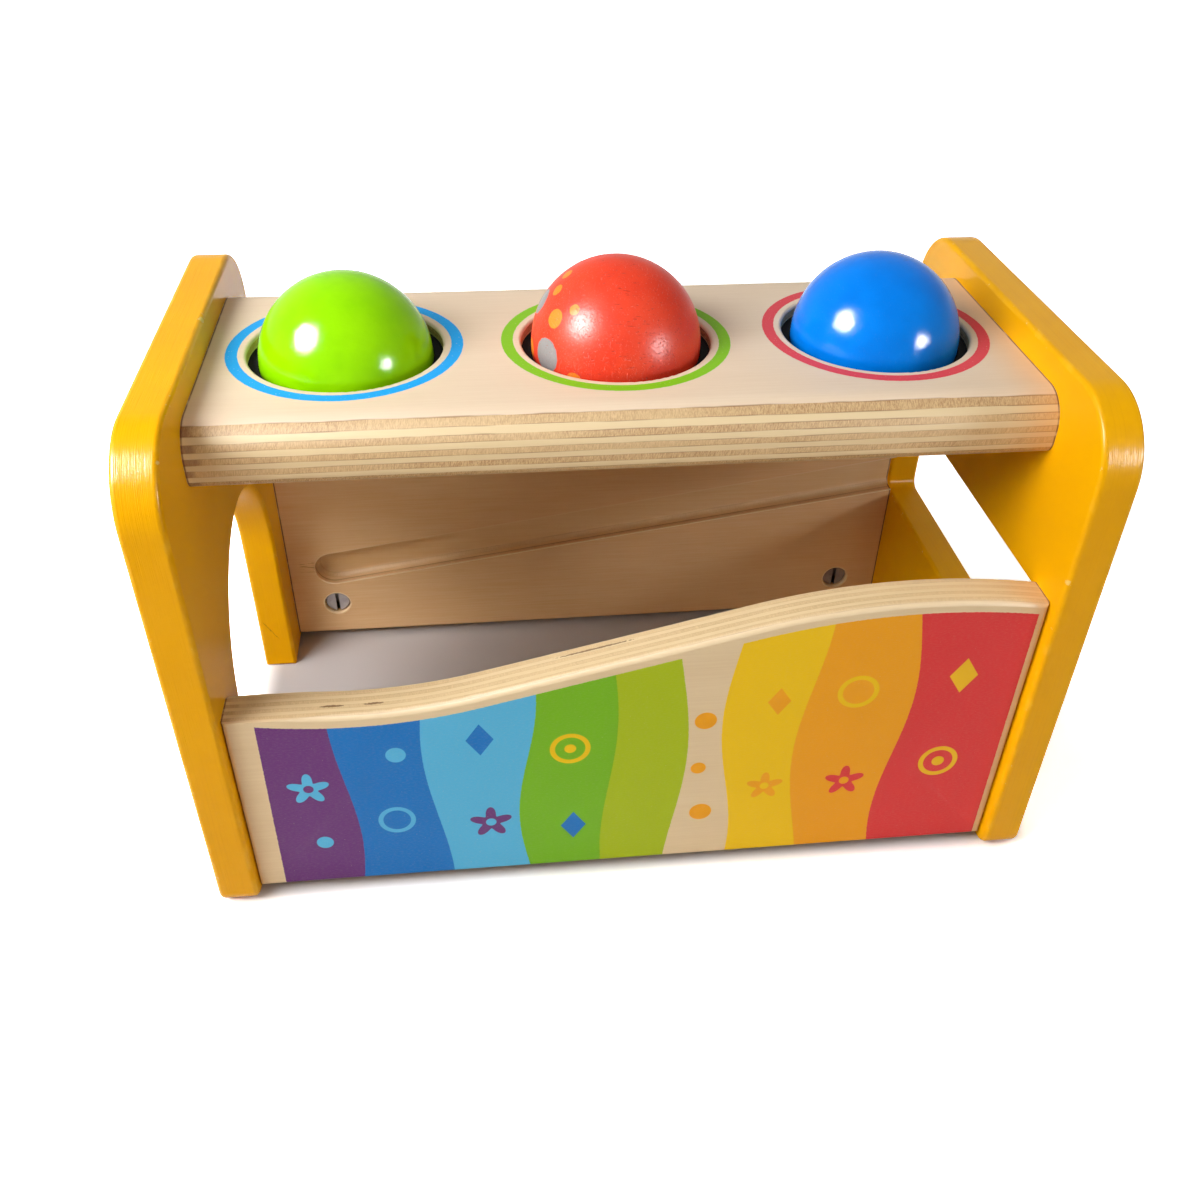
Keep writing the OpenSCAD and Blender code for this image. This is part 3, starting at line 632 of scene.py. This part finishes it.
tree, size = new_tree(
    "barrel_nut_set",
    ["Radius", "Length", "Chamfer", "Slot Width", "Slot Depth", "Bore Radius", "Bore Depth", "Reach"],
    ["First", "Second", "Turn"])
nut = turned_pin(size["Radius"], size["Length"], size["Chamfer"], 64)
blade = nut.make("ShaderNodeCombineXYZ", None,
                 {0: size["Slot Width"], 1: size["Radius"] * 4.0, 2: size["Slot Depth"] * 2.0})
blade = nut.make("GeometryNodeMeshCube", None, {"Size": blade})
bore = nut.make("GeometryNodeMeshCylinder", None,
                {"Vertices": 40, "Radius": size["Bore Radius"], "Depth": size["Radius"] * 4.0})
bore_place = nut.make("ShaderNodeCombineXYZ", None, {2: 0.0 - size["Bore Depth"]})
bore = moved(bore, bore_place, (0, math.pi / 2, 0))
nut = nut.make("GeometryNodeMeshBoolean", {"operation": "DIFFERENCE"},
               {"Mesh 1": nut, "Mesh 2": [blade, bore]})
set_along(nut, size["First"], size["Second"], size["Reach"], size["Turn"], size["Turn"],
          zinc("zinc_nuts", 0.8))
for board, first, second, reach, length, bore_depth, turn in (
        ("top", (0, -0.035, 0.139), (0, 0.037, 0.139), 0.101, 0.0144, 0.0075, (math.pi, 0, 0)),
        ("front", (0, -0.0595, 0.0176), (0, -0.0595, 0.049), 0.103, 0.0084, 0.0045, (-math.pi / 2, 0, 0)),
        ("back", (0, 0.0615, 0.0176), (0, 0.0615, 0.115), 0.103, 0.0084, 0.0045, (math.pi / 2, 0, 0))):
    piece = grown(f"{board}_slotted_nuts", tree, {
        "Radius": 0.0048, "Length": length, "Chamfer": 0.0004, "Slot Width": 0.0013, "Slot Depth": 0.0015,
        "Bore Radius": 0.003, "Bore Depth": bore_depth, "First": first, "Second": second, "Reach": reach,
        "Turn": turn})
    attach(piece, "bench")
    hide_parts(f"{board}_barrel_nuts")


# The balls. Turned beech balls, each with a small flat at both ends where the lathe held it, dipped in
# glossy lacquer. The hammer has scratched them, and the red one has lost most of its shine and has dots.

BALL_R = 25.5


def turned_ball(name, centre, lathe, seed):
    """A ball that is a hair out of round, flat where the lathe held it."""
    lathe = Vector(lathe).normalized()
    flat = BALL_R - 0.16
    work = bmesh.new()
    bmesh.ops.create_icosphere(work, subdivisions=7, radius=BALL_R)
    for point in work.verts:
        way = point.co.normalized()
        point.co += way * 0.05 * (noise.noise(way * 2.1 + Vector((seed, 0, 0))) - 0.6)
        tall = point.co.dot(lathe)
        if abs(tall) > flat:
            point.co -= lathe * (tall - math.copysign(flat, tall))
        point.co = (point.co + Vector(centre)) / 1000
    mesh = bpy.data.meshes.new(name)
    work.to_mesh(mesh)
    work.free()
    mesh.shade_smooth()
    piece = bpy.data.objects.new(name, mesh)
    bpy.context.scene.collection.objects.link(piece)
    return piece


def lacquer(name, centre, bright, deep, scuff, dots):
    """Glossy lacquer over wood: scuff says how worn it is, dots are turns, rises, radii and colours."""
    finish, x, y, z = begin(name)
    x, y, z = x - centre[0], y - centre[1], z - centre[2]
    cloud = grain(x * 0.07, y * 0.07, z * 0.07, 3.0)
    colour = cloud.ease(0.3, 0.7).mix(deep, bright)
    for turn, rise, radius, tint in dots:
        turn, rise = math.radians(turn), math.radians(rise)
        way = Vector((-math.sin(turn) * math.cos(rise), -math.cos(turn) * math.cos(rise), math.sin(rise)))
        way = way * BALL_R
        reach = ((x - way[0]) ** 2.0 + (y - way[1]) ** 2.0 + (z - way[2]) ** 2.0) ** 0.5
        worn = (grain(x * 0.8, y * 0.8, z * 0.8, 2.0) - 0.5) * 0.5
        colour = (reach + worn).ease(radius + 0.15, radius - 0.15).mix(colour, tint)
    dash = grain(x * 0.35, y * 2.4, z * 2.4, 2.0).ease(0.63, 0.70)
    nick = grain(x * 2.2 + 9.0, y * 0.3, z * 2.2, 2.0).ease(0.64, 0.71)
    hair = grain(x * 3.0, y * 3.0, z * 0.25 + 5.0, 2.0).ease(0.64, 0.72)
    colour = (dash * (0.5 * scuff)).mix(colour, tuple(0.45 * c for c in deep[:3]) + (1.0,))
    colour = ((nick + hair).least(1.0) * (0.1 * scuff)).mix(colour, shade(240, 190, 170))
    peel = grain(x * 0.6, y * 0.6, z * 0.6, 4.0, 0.6) + 0.4 * grain(x * 1.9, y * 1.9, z * 1.9, 2.0)
    roughness = 0.05 + 0.27 * scuff + 0.08 * cloud + 0.25 * scuff * (nick + hair)
    relief = (0.055 + 0.01 * scuff) * peel - 0.05 * scuff * (dash + nick + hair)
    seal(colour, roughness, relief, {"Specular IOR Level": 0.07})
    return finish


ORANGE, GREY = shade(246, 142, 40), shade(150, 146, 146)
# Each dot: degrees round from the front towards the left, degrees up, radius and colour.
RED_DOTS = [
    (95, 55, 1.8, ORANGE), (80, 45, 1.8, ORANGE), (60, 30, 2.8, ORANGE), (45, 40, 1.6, ORANGE),
    (85, 0, 2.8, ORANGE), (35, -5, 2.6, ORANGE), (60, 5, 5.0, GREY), (95, 30, 4.0, GREY),
    (200, 25, 3.0, ORANGE), (220, 10, 2.2, ORANGE), (235, 30, 2.8, GREY),
    (170, -55, 3.0, ORANGE), (300, -55, 2.6, ORANGE),
]
for tint, centre, lathe, bright, deep, scuff, dots in (
        ("green", (-80.0, 2.0, 151.6), (0.2, 0.9, 0.4), shade(150, 222, 2), shade(138, 212, 0), 0.06, []),
        ("red", (0.0, 2.0, 154.4), (0.9, 0.3, 0.5), shade(240, 74, 44), shade(232, 62, 36), 0.9, RED_DOTS),
        ("blue", (80.0, 2.0, 153.4), (-0.4, 0.8, 0.3), shade(0, 130, 238), shade(0, 120, 226), 0.10, [])):
    piece = turned_ball(f"lacquered_{tint}_ball", centre, lathe, len(tint) * 3.7)
    piece.data.materials.append(lacquer(f"{tint}_lacquer_coat", centre, bright, deep, scuff, dots))
    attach(piece, f"{tint}_ball")
    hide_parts(f"{tint}_ball")


# The studio. A wide pale floor that the bench stands on, with a shadow painted on it under the bench, a
# soft lamp close on the left, a small weak one on the right, and an even pale surround.

work = bmesh.new()
bmesh.ops.create_grid(work, x_segments=8, y_segments=8, size=6.0)
mesh = bpy.data.meshes.new("floor")
work.to_mesh(mesh)
work.free()
floor = bpy.data.objects.new("floor", mesh)
bpy.context.scene.collection.objects.link(floor)
finish, x, y, z = begin("pale_floor")
seen = x.make("ShaderNodeLightPath", out="Is Camera Ray")
seen = seen.most(seen.also("Is Glossy Ray")).most(seen.also("Is Transmission Ray"))
away = (x ** 2.0 + y ** 2.0) ** 0.5
shown = away.ease(250.0, 1600.0).mix((2.8, 2.8, 2.8, 1.0), (3.4, 3.4, 3.4, 1.0))
# Painted shadow: the floor is grey in the bench's footprint, fading out just past it.
painted_shadow_under_bench = rounded(x, y, 132.0, 74.0, 10.0).ease(12.0, -8.0)
shown = painted_shadow_under_bench.mix(shown, (0.50, 0.465, 0.455, 1.0))
surface = x.make("ShaderNodeBsdfDiffuse", None, {"Color": seen.mix((0.56, 0.49, 0.42, 1.0), shown)})
x.make("ShaderNodeOutputMaterial", None, {"Surface": surface})
mesh.materials.append(finish)

world = bpy.data.worlds.new("studio")
bpy.context.scene.world = world
world.use_nodes = True
world.node_tree.nodes.clear()
way = Wire(world.node_tree).make("ShaderNodeTexCoord", out="Generated")
overhead = way.make("ShaderNodeSeparateXYZ", None, {0: way}, out=2).most(0.0)
seen = way.make("ShaderNodeLightPath", out="Is Camera Ray")
seen = seen.most(seen.also("Is Glossy Ray")).most(seen.also("Is Transmission Ray"))
light = way.make("ShaderNodeBackground", None,
                 {"Color": (1.0, 0.99, 0.98, 1.0),
                  "Strength": seen * (1.0 - 0.45 * overhead) + (1.0 - seen) * (0.14 + 0.31 * overhead)})
way.make("ShaderNodeOutputWorld", None, {"Surface": light})

for name, place, aim, size, power, gloss in (
        ("soft_lamp", (-0.44, -0.22, 0.51), (0.0, 0.0, 0.15), 0.40, 4.55, False),
        ("soft_lamp_shine", (-0.45, -0.20, 0.49), (0.0, 0.0, 0.15), 0.28, 64.0, True),
        ("small_lamp", (0.53, -0.39, 0.245), (0.06, 0.0, 0.15), 0.12, 0.7, False),
        ("small_lamp_shine", (0.53, -0.39, 0.245), (0.06, 0.0, 0.15), 0.16, 18.0, True)):
    lamp = bpy.data.lights.new(name, "AREA")
    lamp.shape, lamp.size, lamp.energy = "DISK", size, power
    holder = bpy.data.objects.new(name, lamp)
    holder.location = place
    holder.rotation_euler = (Vector(aim) - Vector(place)).to_track_quat("-Z", "Y").to_euler()
    holder.visible_diffuse = not gloss
    bpy.context.scene.collection.objects.link(holder)
bpy.context.scene.view_settings.view_transform = "Standard"


# The camera. It looks down at the bench from the front, a little to the left of its middle.

CAMERA_PLACE = (-0.04175, -0.3193, 0.3032)
SENSOR, FOCAL_PIXELS, PICTURE_PIXELS = 36.0, 1155.02, 1200
yaw, pitch, roll = (math.radians(a) for a in (6.84, -37.30, 1.14))
ahead = Vector((math.sin(yaw) * math.cos(pitch), math.cos(yaw) * math.cos(pitch), math.sin(pitch)))
right = Vector((math.cos(yaw), -math.sin(yaw), 0.0))
up = right.cross(ahead)
right, up = right * math.cos(roll) + up * math.sin(roll), up * math.cos(roll) - right * math.sin(roll)
turn = Matrix((right, up, -ahead)).transposed()
view = bpy.data.cameras.new("camera")
view.sensor_width, view.lens = SENSOR, SENSOR * FOCAL_PIXELS / PICTURE_PIXELS
view.clip_start = 0.01
camera = bpy.data.objects.new("camera", view)
camera.matrix_world = Matrix.Translation(CAMERA_PLACE) @ turn.to_4x4()
bpy.context.scene.collection.objects.link(camera)
bpy.context.scene.camera = camera
